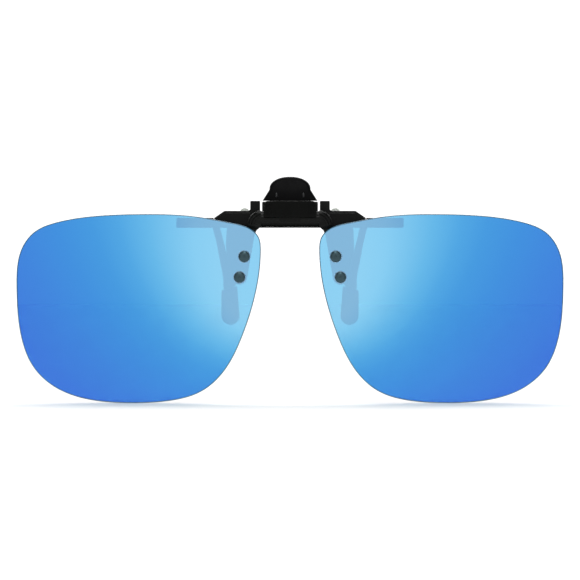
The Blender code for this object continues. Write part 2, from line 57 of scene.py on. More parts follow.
# lens bridge and rivets
ELBOW, ELBOW_R, ELBOW_TOP = (6.8, -1.8), 4.15, 2.15
TAB_FRONT, TAB_BACK, TAB_END_R = -5.8, -4.3, 1.95
RIVETS = (("upper", 11.7, -9.6), ("lower", 12.9, -14.9))
HOLE_R, WASHER_R, NUT_R = 0.75, 1.65, 1.35

# lenses
LENS_BACK, LENS_THICK, LENS_CURVE_R = -6.1, 1.0, 300.0
LENS_POLE, LENS_CENTRE = (12.3, -12.25), (38.8, -22.5)
LENS_STEPS, MIRROR_SHARE = 300, 0.76
LENS_EDGE = (
    (7.45, -8.25), (8.05, -4.55), (10.0, -2.6), (15.0, -1.0), (24.0, 0.6), (38.0, 1.23), (50.0, 0.72),
    (60.0, -0.94), (65.5, -3.35), (68.6, -7.25), (70.1, -17.75), (69.0, -29.95), (65.9, -37.85),
    (60.0, -43.31), (51.0, -46.4), (40.0, -47.15), (30.0, -46.45), (22.5, -44.05), (16.3, -38.15),
    (12.3, -30.25), (9.0, -19.95),
)

# jaw
JAW_FRONT, JAW_BACK, JAW_TOP, JAW_LOW = 6.0, 7.4, 1.2, -1.5
FOOT_FRONT, FOOT_BACK, FOOT = 1.2, 3.3, (15.2, -24.8)
THUMB_LEAN, THUMB_BASE, THUMB_FRONT, THUMB_THICK = math.radians(12), 4.7, 3.1, 2.6
THUMB_HALF, THUMB_LOW, SKIRT_HALF, SKIRT_Z = 5.3, 4.4, 7.1, 4.6
RIB_X = 3.45

# studio light
AMBIENT, BACK_LIGHT, GROUND_FRONT, GROUND_BACK = 0.22, 3.6, 1.3, 0.03
WHITE = 1.21  # what the camera sees behind the object
FRONT_PANEL = (0.74, 0.88)  # cosines from the front where the front panel fades in and is full
FLOOR_Z, FLOOR_HALF = -47.2, 1.6  # the floor's half width is in metres
SUN_ANGLE, BOX_SIZE = math.radians(25), 0.09
LIGHTS = (  # kind, name, place in metres, power
    ("SUN", "overhead_light", (0.0, -0.10, 0.45), 1.0),
    ("AREA", "high_front_box", (0.0, -0.42, 0.32), 0.45),
    ("AREA", "left_box", (-0.45, -0.40, 0.20), 0.20),
    ("AREA", "right_box", (0.45, -0.40, 0.20), 0.20),
)

# camera
CAMERA_AWAY, CAMERA_LIFT, CAMERA_TARGET, VIEW_WIDTH = 2000.0, 0.8, (0.0, -3.0, -18.22), 148.5

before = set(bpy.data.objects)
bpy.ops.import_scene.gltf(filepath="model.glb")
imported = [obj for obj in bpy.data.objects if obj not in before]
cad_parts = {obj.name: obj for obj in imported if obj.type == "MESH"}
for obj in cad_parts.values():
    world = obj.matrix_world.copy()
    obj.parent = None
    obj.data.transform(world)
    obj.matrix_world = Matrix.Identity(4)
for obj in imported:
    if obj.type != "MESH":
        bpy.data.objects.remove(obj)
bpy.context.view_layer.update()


# ---- outlines ----

def circle(u, v, radius, sides=48):
    """Return a circle's outline."""
    turns = [2 * math.pi * step / sides for step in range(sides)]
    return [(u + radius * math.cos(turn), v + radius * math.sin(turn)) for turn in turns]


def arc(u, v, radius, start, end, steps=16):
    """Return an arc's points between two angles in degrees."""
    turns = [math.radians(start + (end - start) * step / steps) for step in range(steps + 1)]
    return [(u + radius * math.cos(turn), v + radius * math.sin(turn)) for turn in turns]


def sharp(points):
    """Return points as corners with no radius."""
    return [(u, v, 0) for u, v in points]


def rounded(corners, steps=6):
    """Return a closed outline from (u, v, radius) corners."""
    points = []
    for index, (u, v, radius) in enumerate(corners):
        here = np.array((u, v), float)
        if radius == 0:
            points.append((u, v))
            continue
        back = np.array(corners[index - 1][:2]) - here
        ahead = np.array(corners[(index + 1) % len(corners)][:2]) - here
        back /= np.linalg.norm(back)
        ahead /= np.linalg.norm(ahead)
        half = math.acos(float(back @ ahead)) / 2
        middle = (back + ahead) / np.linalg.norm(back + ahead)
        centre = here + middle * radius / math.sin(half)
        first = here + back * radius / math.tan(half) - centre
        last = here + ahead * radius / math.tan(half) - centre
        start = math.atan2(first[1], first[0])
        turn = math.atan2(first[0] * last[1] - first[1] * last[0], float(first @ last))
        for step in range(steps + 1):
            angle = start + turn * step / steps
            points.append((centre[0] + radius * math.cos(angle), centre[1] + radius * math.sin(angle)))
    return points


def rectangle(u_span, v_span, radius=0.15, steps=4):
    """Return a rectangle with rounded corners."""
    return rounded([(u_span[0], v_span[0], radius), (u_span[1], v_span[0], radius),
                    (u_span[1], v_span[1], radius), (u_span[0], v_span[1], radius)], steps)


def mirrored(outline, side):
    """Return an outline on one side of the middle."""
    return [(side * u, v) for u, v in outline]


def tidy_loop(outline):
    """Return an outline as an array that runs counter-clockwise without doubled points."""
    points = [np.array(outline[0], float)]
    for point in outline[1:]:
        if np.linalg.norm(np.array(point) - points[-1]) > 1e-3:
            points.append(np.array(point, float))
    if np.linalg.norm(points[0] - points[-1]) < 1e-3:
        points.pop()
    loop = np.array(points)
    after = np.roll(loop, -1, axis=0)
    if np.sum(loop[:, 0] * after[:, 1] - after[:, 0] * loop[:, 1]) < 0:
        loop = loop[::-1]
    return loop


def inset(loop, depth):
    """Return a counter-clockwise loop drawn in by a depth."""
    before = loop - np.roll(loop, 1, axis=0)
    before /= np.linalg.norm(before, axis=1)[:, None]
    ahead = np.roll(before, -1, axis=0)
    out_before = np.stack((before[:, 1], -before[:, 0]), axis=1)
    out_ahead = np.stack((ahead[:, 1], -ahead[:, 0]), axis=1)
    middle = out_before + out_ahead
    middle /= np.linalg.norm(middle, axis=1)[:, None]
    reach = 1 / np.maximum(0.4, np.sum(middle * out_before, axis=1))
    return loop - middle * (depth * reach)[:, None]


# ---- solids ----

def place(u, v, w, axis):
    """Return the point, in metres, at (u, v) on the plane across an axis and at w along it."""
    point = {"X": (w, u, v), "Y": (u, w, v), "Z": (u, v, w)}[axis]
    return Vector(point) * MM


def add_object(name, shape):
    """Turn a bmesh into an object with outward faces."""
    bmesh.ops.recalc_face_normals(shape, faces=shape.faces)
    mesh = bpy.data.meshes.new(name)
    shape.to_mesh(mesh)
    shape.free()
    thing = bpy.data.objects.new(name, mesh)
    bpy.context.scene.collection.objects.link(thing)
    return thing


def skin(shape, rings):
    """Join closed rings of points into a solid with flat ends."""
    loops = [[shape.verts.new(point) for point in ring] for ring in rings]
    count = len(loops[0])
    for near, far in zip(loops, loops[1:]):
        for step in range(count):
            after = (step + 1) % count
            shape.faces.new((near[step], near[after], far[after], far[step]))
    shape.faces.new(loops[0])
    shape.faces.new(reversed(loops[-1]))


def ringed(name, rows, ends, slots):
    """Join rings of points from a front middle point to a rear one, with a material slot for each band."""
    shape = bmesh.new()
    rings = [[shape.verts.new(point) for point in row] for row in rows]
    front, back = (shape.verts.new(point) for point in ends)
    count = len(rows[0])
    for step in range(count):
        after = (step + 1) % count
        for near, far, slot in zip(rings, rings[1:], slots):
            shape.faces.new((near[step], near[after], far[after], far[step])).material_index = slot
        shape.faces.new((front, rings[0][after], rings[0][step])).material_index = slots[0]
        shape.faces.new((back, rings[-1][step], rings[-1][after])).material_index = slots[-1]
    return add_object(name, shape)


def slab(name, outline, low, high, axis, edge=0.12, steps=2):
    """Extrude an outline along an axis, with its rims rounded over."""
    loop = tidy_loop(outline)
    rims = []
    for step in range(steps + 1):
        turn = math.pi / 2 * step / steps
        rims.append((edge * (1 - math.sin(turn)), low + edge * (1 - math.cos(turn))))
    for step in range(steps + 1):
        turn = math.pi / 2 * step / steps
        rims.append((edge * (1 - math.cos(turn)), high - edge * (1 - math.sin(turn))))
    shape = bmesh.new()
    skin(shape, [[place(u, v, along, axis) for u, v in inset(loop, depth)] for depth, along in rims])
    return add_object(name, shape)


def prism(name, outline, low, high, axis):
    """Extrude an outline along an axis with sharp rims, for cutting."""
    shape = bmesh.new()
    loop = tidy_loop(outline)
    skin(shape, [[place(u, v, along, axis) for u, v in loop] for along in (low, high)])
    return add_object(name, shape)


def side_slab(name, outline, span, side, edge=0.12, steps=2):
    """Make a slab along X between two distances from the middle, on one side."""
    low, high = sorted((side * span[0], side * span[1]))
    return slab(name, outline, low, high, "X", edge, steps)


def box(name, x_span, y_span, z_span, edge=0.12, corner=0.2):
    """Make a block with rounded edges; the corner radius is larger than the edge's."""
    low, high = sorted(y_span)
    return slab(name, rectangle(sorted(x_span), z_span, corner), low, high, "Y", edge)


def turned(name, profile, u, v, axis="Y", sides=56):
    """Revolve (radius, distance) points that start and end on the axis."""
    shape = bmesh.new()
    ends = [shape.verts.new(place(u, v, profile[end][1], axis)) for end in (0, -1)]
    rings = [[shape.verts.new(place(*point, along, axis)) for point in circle(u, v, radius, sides)]
             for radius, along in profile[1:-1]]
    for step in range(sides):
        after = (step + 1) % sides
        shape.faces.new((ends[0], rings[0][step], rings[0][after]))
        shape.faces.new((ends[1], rings[-1][after], rings[-1][step]))
        for near, far in zip(rings, rings[1:]):
            shape.faces.new((near[step], far[step], far[after], near[after]))
    return add_object(name, shape)


def combine(target, tool, operation):
    """Join, cut or intersect two solids and drop the tool."""
    step = target.modifiers.new("step", "BOOLEAN")
    step.operation = operation
    step.solver = "EXACT"
    step.object = tool
    bpy.context.view_layer.update()
    graph = bpy.context.evaluated_depsgraph_get()
    result = bpy.data.meshes.new_from_object(target.evaluated_get(graph))
    target.modifiers.clear()
    target.data = result
    bpy.data.objects.remove(tool)
    return target


def join(target, *tools):
    """Union solids."""
    for tool in tools:
        combine(target, tool, "UNION")
    return target


def cut(target, *tools):
    """Cut solids out."""
    for tool in tools:
        combine(target, tool, "DIFFERENCE")
    return target


# ---- materials ----

class Nodes:
    """A material's node tree with short helpers; lengths inside are in millimetres."""

    def __init__(self, name):
        self.material = bpy.data.materials.new(name)
        self.material.use_nodes = True
        self.tree = self.material.node_tree
        self.shader = self.tree.nodes["Principled BSDF"]
        self.output = self.tree.nodes["Material Output"]
        where = self.tree.nodes.new("ShaderNodeTexCoord")
        self.place = self.vector("SCALE", where.outputs["Object"], scale=1000.0)

    def node(self, kind, **settings):
        made = self.tree.nodes.new(kind)
        for key, value in settings.items():
            setattr(made, key, value)
        return made

    def link(self, source, target):
        self.tree.links.new(source, target)

    def feed(self, socket, value):
        if isinstance(value, bpy.types.NodeSocket):
            self.link(value, socket)
        else:
            socket.default_value = value

    def vector(self, operation, first, second=None, scale=None):
        made = self.node("ShaderNodeVectorMath", operation=operation)
        self.feed(made.inputs[0], first)
        if second is not None:
            self.feed(made.inputs[1], second)
        if scale is not None:
            made.inputs["Scale"].default_value = scale
        return made.outputs["Vector"]

    def math(self, operation, first, second=0.0, clamp=False):
        made = self.node("ShaderNodeMath", operation=operation, use_clamp=clamp)
        self.feed(made.inputs[0], first)
        self.feed(made.inputs[1], second)
        return made.outputs[0]

    def noise(self, scale, detail=2.0, roughness=0.5, place=None):
        made = self.node("ShaderNodeTexNoise")
        self.link(place or self.place, made.inputs["Vector"])
        made.inputs["Scale"].default_value = scale
        made.inputs["Detail"].default_value = detail
        made.inputs["Roughness"].default_value = roughness
        return made.outputs["Fac"]

    def spread(self, value, low, high, first, last):
        """Map a value from one span to another."""
        made = self.node("ShaderNodeMapRange")
        self.feed(made.inputs["Value"], value)
        made.inputs["From Min"].default_value = low
        made.inputs["From Max"].default_value = high
        made.inputs["To Min"].default_value = first
        made.inputs["To Max"].default_value = last
        return made.outputs["Result"]

    def ramp(self, value, stops):
        made = self.node("ShaderNodeValToRGB")
        self.link(value, made.inputs["Fac"])
        while len(made.color_ramp.elements) > 1:
            made.color_ramp.elements.remove(made.color_ramp.elements[-1])
        for index, (at, colour) in enumerate(stops):
            stop = made.color_ramp.elements[0] if index == 0 else made.color_ramp.elements.new(at)
            stop.position = at
            stop.color = (*colour, 1.0)
        return made.outputs["Color"]

    def mix(self, share, first, last):
        made = self.node("ShaderNodeMix", data_type="RGBA")
        self.feed(made.inputs["Factor"], share)
        for socket, colour in ((made.inputs["A"], first), (made.inputs["B"], last)):
            self.feed(socket, colour if isinstance(colour, bpy.types.NodeSocket) else (*colour, 1.0))
        return made.outputs["Result"]

    def bump(self, height, depth, strength=1.0, after=None):
        """Add a bump of a depth in millimetres."""
        made = self.node("ShaderNodeBump")
        made.inputs["Strength"].default_value = strength
        made.inputs["Distance"].default_value = depth * MM
        self.link(height, made.inputs["Height"])
        if after is not None:
            self.link(after, made.inputs["Normal"])
        return made.outputs["Normal"]

    def surface(self, **values):
        for key, value in values.items():
            socket = self.shader.inputs[key.replace("_", " ").title().replace("Ior", "IOR")]
            if isinstance(value, tuple):
                value = (*value, 1.0)
            self.feed(socket, value)
        return self.material


def moulded(name, dark, light, roughness, grain, depth, specular=0.10):
    """Moulded plastic: spark-eroded grain, uneven gloss, faint rubbed edges."""
    n = Nodes(name)
    grit = n.noise(grain, 3.0, 0.6)
    patches = n.noise(0.35, 3.0, 0.55)
    rub = n.node("ShaderNodeNewGeometry").outputs["Pointiness"]
    worn = n.spread(rub, 0.52, 0.60, 0.0, 0.5)
    tone = n.mix(patches, dark, light)
    n.surface(
        base_color=n.mix(worn, tone, tuple(min(1.0, 2.4 * part) for part in light)),
        roughness=n.math("ADD", n.spread(patches, 0.3, 0.7, roughness[0], roughness[1]),
                         n.spread(grit, 0.3, 0.7, -0.03, 0.03)),
        normal=n.bump(grit, depth, 0.5),
    )
    n.shader.inputs["Specular IOR Level"].default_value = specular
    return n.material


def plated(name, colour, roughness, streak):
    """Turned or drawn steel with fine marks."""
    n = Nodes(name)
    stretched = n.vector("MULTIPLY", n.place, streak)
    marks = n.noise(1.0, 3.0, 0.6, stretched)
    stain = n.noise(1.2, 2.0, 0.5)
    n.surface(
        base_color=n.mix(stain, tuple(0.75 * part for part in colour), colour),
        metallic=1.0,
        roughness=n.spread(marks, 0.3, 0.7, roughness[0], roughness[1]),
        normal=n.bump(marks, 0.01, 0.4),
    )
    return n.material


def lens_front():
    """Blue mirror coat with a painted reflection: its colour is painted lighter towards the nose and deeper
    towards the lower outer corner, on top of the coat's real mirror.
    """
    n = Nodes("lens_mirror_blue_painted_reflection")
    split = n.node("ShaderNodeSeparateXYZ")
    n.link(n.place, split.inputs["Vector"])
    across = n.math("SUBTRACT", n.math("ABSOLUTE", split.outputs["X"]), 8.0)
    up = n.math("ADD", split.outputs["Z"], 22.0)
    reach = n.math("SQRT", n.math("ADD", n.math("MULTIPLY", across, across), n.math("MULTIPLY", up, up)))
    depth = n.math("SUBTRACT", reach, n.math("MULTIPLY", split.outputs["Z"], 0.7))
    share = n.spread(depth, 23.0, 83.0, 0.0, 1.0)
    # painted reflection: this gradient in the coat's colour stands in for the studio reflected across the lens
    colour = n.ramp(share, (
        (0.00, (0.310, 0.632, 0.938)), (0.07, (0.275, 0.602, 0.928)), (0.14, (0.205, 0.520, 0.878)),
        (0.22, (0.125, 0.425, 0.828)), (0.32, (0.060, 0.302, 0.770)), (0.42, (0.032, 0.222, 0.735)),
        (0.56, (0.022, 0.164, 0.722)), (0.75, (0.021, 0.106, 0.712)), (1.00, (0.021, 0.050, 0.705)),
    ))
    haze = n.noise(0.6, 2.0, 0.5)
    inside = n.node("ShaderNodeNewGeometry").outputs["Backfacing"]
    n.surface(
        base_color=n.mix(inside, colour, (0.02, 0.022, 0.025)),
        metallic=1.0,
        roughness=n.spread(haze, 0.3, 0.7, 0.10, 0.13),
        normal=n.bump(n.noise(0.08, 1.0, 0.4), 0.02, 0.05),
    )
    clear = n.node("ShaderNodeBsdfTransparent")
    n.link(n.mix(inside, (0.167, 0.675, 0.807), (0.345, 0.375, 0.40)), clear.inputs["Color"])
    blend = n.node("ShaderNodeMixShader")
    blend.inputs["Fac"].default_value = MIRROR_SHARE
    n.link(clear.outputs["BSDF"], blend.inputs[1])
    n.link(n.shader.outputs["BSDF"], blend.inputs[2])
    n.link(blend.outputs["Shader"], n.output.inputs["Surface"])
    return n.material


def lens_back():
    """The polarised grey sheet's polished rear."""
    n = Nodes("lens_smoke_back")
    haze = n.noise(0.5, 2.0, 0.5)
    n.surface(
        base_color=n.mix(haze, (0.012, 0.013, 0.015), (0.020, 0.021, 0.023)),
        roughness=n.spread(haze, 0.3, 0.7, 0.04, 0.09),
        alpha=0.18,
    )
    return n.material


def lens_rim():
    """The ground edge of the lens, which gathers light."""
    n = Nodes("lens_ground_edge")
    grind = n.noise(9.0, 2.0, 0.6)
    n.surface(
        base_color=n.mix(grind, (0.035, 0.12, 0.20), (0.06, 0.17, 0.26)),
        roughness=n.spread(grind, 0.3, 0.7, 0.3, 0.45),
        alpha=0.95,
        normal=n.bump(grind, 0.01, 0.4),
    )
    return n.material


def clear_soft(name, colour, alpha, roughness):
    """Clear silicone or nylon with a little cloudiness."""
    n = Nodes(name)
    cloud = n.noise(1.6, 3.0, 0.55)
    n.surface(
        base_color=n.mix(cloud, tuple(0.8 * part for part in colour), colour),
        roughness=n.spread(cloud, 0.3, 0.7, roughness[0], roughness[1]),
        alpha=alpha,
        normal=n.bump(n.noise(4.0, 2.0, 0.5), 0.02, 0.3),
    )
    return n.material


def floor_paper():
    """Plain pale paper sweep."""
    n = Nodes("studio_paper")
    fibre = n.noise(0.02, 3.0, 0.5)
    n.surface(
        base_color=n.mix(fibre, (0.80, 0.80, 0.80), (0.82, 0.82, 0.82)),
        roughness=0.9,
        normal=n.bump(fibre, 0.02, 0.1),
    )
    n.shader.inputs["Specular IOR Level"].default_value = 0.1
    return n.material


BLACK = moulded("black_moulded_nylon", (0.0026, 0.0029, 0.0026), (0.0042, 0.0046, 0.0041),
                (0.22, 0.32), 7.0, 0.010)
SATIN = moulded("satin_black_cover", (0.0018, 0.0020, 0.0018), (0.0030, 0.0033, 0.0030),
                (0.22, 0.32), 7.0, 0.010, 0.055)
SOFT = moulded("soft_touch_black_cap", (0.0012, 0.0012, 0.0014), (0.0020, 0.0020, 0.0024),
               (0.34, 0.46), 10.0, 0.008, 0.05)
# painted highlight: the grip ribs' black is lighter than the cap's to stand in for the light they catch, on top
# of their real higher gloss
RIB_PAINTED_HIGHLIGHT = moulded("glossy_grip_rib_painted_highlight", (0.010, 0.010, 0.011), (0.016, 0.016, 0.018),
              (0.26, 0.34), 10.0, 0.004, 0.5)
RUBBER = moulded("matte_black_rubber", (0.0045, 0.0047, 0.0048), (0.0075, 0.0077, 0.0080),
                 (0.6, 0.75), 12.0, 0.015, 0.12)
STEEL = plated("drawn_bright_steel", (0.56, 0.57, 0.58), (0.16, 0.34), (0.6, 9.0, 9.0))
DARK_STEEL = plated("blackened_rivet_steel", (0.056, 0.096, 0.111), (0.28, 0.42), (5.0, 5.0, 5.0))
SILICONE = clear_soft("clear_silicone_pad", (0.55, 0.60, 0.53), 0.62, (0.22, 0.34))
NYLON = clear_soft("clear_nylon_washer", (0.45, 0.66, 0.80), 0.22, (0.12, 0.22))
MIRROR, SMOKE, RIM = lens_front(), lens_back(), lens_rim()


def dress(thing, surface, body, slot, *nodes, crease=32.0):
    """Give a piece its material, clean shading, body and the CAD nodes it stands for."""
    thing.data.name = thing.name
    if surface is not None:
        thing.data.materials.clear()
        thing.data.materials.append(surface)
    thing.data.shade_smooth()
    thing.data.set_sharp_from_angle(angle=math.radians(crease))
    normals = thing.modifiers.new("even_shading", "WEIGHTED_NORMAL")
    normals.keep_sharp = True
    if body is not None:
        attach(thing, body)
    if nodes:
        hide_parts(*nodes)
    return thing


# ---- clip: spine, arms, posts, cover ----

def arm_outline():
    """Return the front outline of both arms with the fillets at their posts, from end to end."""
    right = rounded([(ARM_END, ARM_LOW, 0), (ARM_END, BAR_TOP, 0), (16.8, ARM_TOP, 0.8), (10.9, ARM_TOP, 0)], 8)
    foot = arc(POST[1] + 0.65, ARM_TOP + 0.7, 0.7, 270, 180, 8)
    top = right + foot[1:] + [(POST[0] + 0.2, ARM_TOP + 0.7), (POST[0] + 0.2, ARM_TOP)]
    return top + mirrored(reversed(top), -1)


def arm_front_outline():
    """Return the lower front step of both arms, which stops short of their top edge."""
    right = rounded([(ARM_END, ARM_LOW, 0), (ARM_END, BAR_TOP - 0.2, 0), (16.7, ARM_RIDGE, 0.8),
                     (POST[0], ARM_RIDGE, 0)], 8)
    return right + mirrored(reversed(right), -1)


def clip_body():
    """Make the fixed front with its arms, posts, stops, knuckles and ears."""
    spine = [(-BLOCK_HALF, -2.0, 0.2), (BLOCK_HALF, -2.0, 0.2),
             (BLOCK_HALF, SPINE_TOP, 0.3), (-BLOCK_HALF, SPINE_TOP, 0.3)]
    body = slab("clip_frame", rounded(spine, 8), ARM_FRONT, -0.3, "Y", 0.15)
    shelf = [(-6.1, 2.5, 0), (6.1, 2.5, 0), (6.1, BLOCK_TOP, CORNER_R), (-6.1, BLOCK_TOP, CORNER_R)]
    join(body, slab("shelf", rounded(shelf, 8), -6.55, ARM_FRONT + 0.4, "Y", 0.1))
    join(body, slab("seat", rectangle((-5.8, 5.8), (-1.8, 0.8), 0.4), -0.7, 0.0, "Y", 0.12))
    join(body, slab("arms", arm_outline(), ARM_FRONT + ARM_STEP, ARM_BACK, "Y", 0.12, 2))
    join(body, slab("arm_fronts", arm_front_outline(), ARM_FRONT, ARM_BACK - 0.2, "Y", 0.24, 4))
    stop = [(-1.8, -1.2, 0), (-1.8, -4.6, 0.1), (-4.0, -4.6, 0.2), (-4.0, -3.5, 0.15),
            (-3.1, -2.0, 0.2), (-3.1, -1.2, 0)]
    ear = [(-0.6, CLAMP_Z + 1.4), (-0.6, CLAMP_Z - 1.4)] + arc(CLAMP_Y, CLAMP_Z, 1.4, -90, 90, 24)
    neck = [(-1.8, -0.8), (-1.8, 0.8)] + arc(FLIP_Y, FLIP_Z, 1.1, 47, 313, 32)
    for label, side in SIDES:
        post = rectangle(POST, (0.0, BLOCK_TOP), 0.3, 6)
        join(body, slab("post", mirrored(post, side), ARM_FRONT, ARM_BACK - 0.1, "Y", 0.2, 3))
        join(body, side_slab("stop", rounded(stop, 4), (12.6, 15.0), side))
        join(body, box("core", (side * 18.9, side * 28.3), (-1.6, -0.82), (-1.6, -0.45), 0.1, 0.2))
        join(body, side_slab("knuckle", neck, (3.2, 4.4), side, 0.1))
        join(body, side_slab("ear", ear, (4.6, 6.2), side, 0.15))
    cut(body, prism("bore", circle(FLIP_Y, FLIP_Z, FLIP_PIN_R + BORE_GAP), -5.0, 5.0, "X"))
    cut(body, prism("bore", circle(CLAMP_Y, CLAMP_Z, CLAMP_PIN_R + BORE_GAP), -7.0, 7.0, "X"))
    cut(body, box("pocket", (-2.7, 2.7), (-6.2, -2.6), (2.0, 3.5)))
    return dress(body, BLACK, "clip", "moulded_black", "clip_body")


def hinge_cover():
    """Make the front cover with its cheeks and the fine flutes down its sides."""
    face = [(-COVER_HALF, 0.4, 0.45), (COVER_HALF, 0.4, 0.45),
            (COVER_HALF, BLOCK_TOP, CORNER_R), (-COVER_HALF, BLOCK_TOP, CORNER_R)]
    cover = slab("front_cover", rounded(face, 10), BLOCK_FRONT, BLOCK_FRONT + 0.65, "Y", 0.15, 3)
    for label, side in SIDES:
        join(cover, box("cheek", (side * (COVER_HALF - 0.35), side * (COVER_HALF - 0.02)), (-7.1, -4.6),
                        (2.4, BLOCK_TOP - CORNER_R), 0.06, 0.12))
        for x in (4.75, 5.15, 5.55, 5.95):
            cut(cover, box("flute", (side * x, side * (x + 0.2)), (-8.0, BLOCK_FRONT + 0.12),
                           (1.0, 3.9), 0.04, 0.09))
    return dress(cover, SATIN, "clip", "moulded_black", "hinge_cover")


def detent_leaf():
    """Make the bowed leaf spring over the barrel."""
    outer = arc(FLIP_Y, 4.2, 1.85, 220, 320, 28)
    inner = arc(FLIP_Y, 4.2, 1.65, 320, 220, 28)
    leaf = slab("bowed_detent_leaf", outer + inner, -2.3, 2.3, "X", 0.05)
    return dress(leaf, STEEL, "clip", "bright_steel", "detent_leaf")


def pin(name, y, z, radius, half, node):
    """Make a hinge pin with chamfered ends."""
    profile = [(0, -half), (radius - 0.12, -half), (radius - 0.03, -half + 0.05), (radius, -half + 0.14),
               (radius, half - 0.14), (radius - 0.03, half - 0.05), (radius - 0.12, half), (0, half)]
    made = turned(name, profile, y, z, "X", 40)
    return dress(made, STEEL, "clip", "bright_steel", node)


def clamp_clip(label, side):
    """Make the retaining ring on one end of the clamp pin."""
    ring = side_slab("retaining_ring_" + label, circle(CLAMP_Y, CLAMP_Z, 1.1), (6.25, 6.55), side, 0.07)
    cut(ring, prism("hole", circle(CLAMP_Y, CLAMP_Z, CLAMP_PIN_R + 0.03), -8.0, 8.0, "X"))
    return dress(ring, STEEL, "clip", "bright_steel", "clamp_clip_" + label)


def bar_sleeve(label, side):
    """Make the rubber sleeve on one front bar."""
    outline = rectangle((ARM_FRONT, 0.0), (ARM_LOW, BAR_TOP), 0.35, 6)
    sleeve = side_slab("bar_rubber_" + label, outline, (ARM_END + 0.1, BAR_END), side, 0.3, 4)
    low, high = sorted((side * (ARM_END - 0.2), side * (BAR_END - 0.65)))
    cut(sleeve, box("pocket", (low, high), (-1.75, -0.67), (-1.75, -0.3), 0.1, 0.2))
    return dress(sleeve, RUBBER, "clip", "rubber_black", "bar_sleeve_" + label)


def rim_pad(label, side):
    """Make the clear pad behind one arm."""
    outline = [(10.3, -1.6), (12.9, -1.6)] + arc(11.6, 1.45, 1.3, 0, 180, 24)
    pad = slab("clear_rim_pad_" + label, mirrored(outline, side), ARM_BACK + 0.05, 0.0, "Y", 0.2, 3)
    return dress(pad, SILICONE, "clip", "clear_silicone", "rim_pad_" + label)


# ---- flip: bridge, lenses, rivets ----

def elbow(side):
    """Make one ribbed elbow, turned about the middle of its bend."""
    inner, face = BLOCK_HALF + 0.3, FLIP_Y - 2.1
    profile = [(0, -2.3), (ELBOW_R - 0.1, -2.3), (ELBOW_R, -2.4), (ELBOW_R, face + 0.45)]
    profile += [(ELBOW_R - 0.3 + 0.3 * math.cos(turn), face + 0.35 - 0.3 * math.sin(turn))
                for turn in (0.3, 0.6, 0.9, 1.2, 1.5)]
    for ridge in (3.42, 2.74):
        profile += [(ridge + 0.36, face + 0.2), (ridge + 0.28, face + 0.2), (ridge + 0.2, face + 0.06),
                    (ridge + 0.08, face), (ridge - 0.08, face), (ridge - 0.2, face + 0.06)]
    profile += [(2.4, face + 0.2), (0, face + 0.2)]
    bend = turned("elbow", profile, side * ELBOW[0], ELBOW[1], "Y", 96)
    sector = [(inner, 4.0), (12.0, 4.0), (12.0, -1.6), (9.4, -3.2), (8.9, -3.15), (8.4, -2.8), (inner, -2.05)]
    combine(bend, prism("sector", mirrored(sector, side), -9.0, 0.0, "Y"), "INTERSECT")
    outline = rounded(
        sharp(arc(FLIP_Y, FLIP_Z, BARREL_R, -62, 88, 28))
        + [(FLIP_Y - 0.3, ELBOW_TOP, 0), (FLIP_Y - 2.2, ELBOW_TOP, 1.3), (FLIP_Y - 2.2, -1.1, 0.5),
           (TAB_FRONT, -2.5, 0.3), (TAB_FRONT + 0.4, -3.3, 0)], 8)
    low, high = sorted((side * inner, side * 12.0))
    return combine(bend, prism("profile", outline, low, high, "X"), "INTERSECT")


def lens_tab(side):
    """Make one flat tab that carries a lens behind its nose corner."""
    low_x, low_z = RIVETS[1][1:]
    outline = rounded(
        [(8.3, -1.3, 0.2), (10.6, -1.5, 0.4), (11.4, -2.2, 0.3), (16.2, -2.2, 0.6), (16.4, -7.7, 3.0)]
        + sharp(arc(low_x, low_z, TAB_END_R, -12, -170, 28))
        + [(9.06, -4.1, 1.0), (8.5, -2.9, 0.5)], 8)
    tab = slab("tab", mirrored(outline, side), TAB_FRONT, TAB_BACK, "Y", 0.18, 3)
    for level, x, z in RIVETS:
        cut(tab, prism("hole", circle(side * x, z, HOLE_R), -7.0, -3.0, "Y"))
    return tab


def barrel_outline():
    """Return the barrel's section, with two shallow grooves down its front."""
    points = []
    for step in range(180):
        turn = 2 * math.pi * (step + 0.5) / 180
        below = math.degrees(turn) - 180
        groove = max(math.exp(-((below - middle) / 2.2) ** 2) for middle in (14, 36))
        radius = BARREL_R - 0.07 * groove
        points.append((FLIP_Y + radius * math.cos(turn), FLIP_Z + radius * math.sin(turn)))
    return points


def lens_bridge():
    """Make the barrel, elbows and tabs."""
    bridge = slab("lens_carrier", barrel_outline(), -8.4, 8.4, "X", 0.12)
    mouth = arc(FLIP_Y, FLIP_Z, BARREL_R + 1.0, -42, 132, 16)
    slot = arc(FLIP_Y, FLIP_Z, 1.35, 132, 318, 28) + mouth
    for label, side in SIDES:
        low, high = sorted((side * 3.0, side * 4.6))
        cut(bridge, prism("slot", slot, low, high, "X"))
    flat = BARREL_R - 0.15
    cut(bridge, prism("flat", rectangle((-2.7, 2.7), (-7.0, -2.0), 0.1), flat, 3.0, "Z"))
    cut(bridge, prism("flat", rectangle((-2.7, 2.7), (-2.0, 2.0), 0.1), -7.5, FLIP_Y - flat, "Y"))
    cut(bridge, prism("bore", circle(FLIP_Y, FLIP_Z, FLIP_PIN_R + BORE_GAP), -8.35, 8.35, "X"))
    for label, side in SIDES:
        join(bridge, join(lens_tab(side), elbow(side)))
    return dress(bridge, BLACK, "flip", "moulded_black", "lens_bridge")


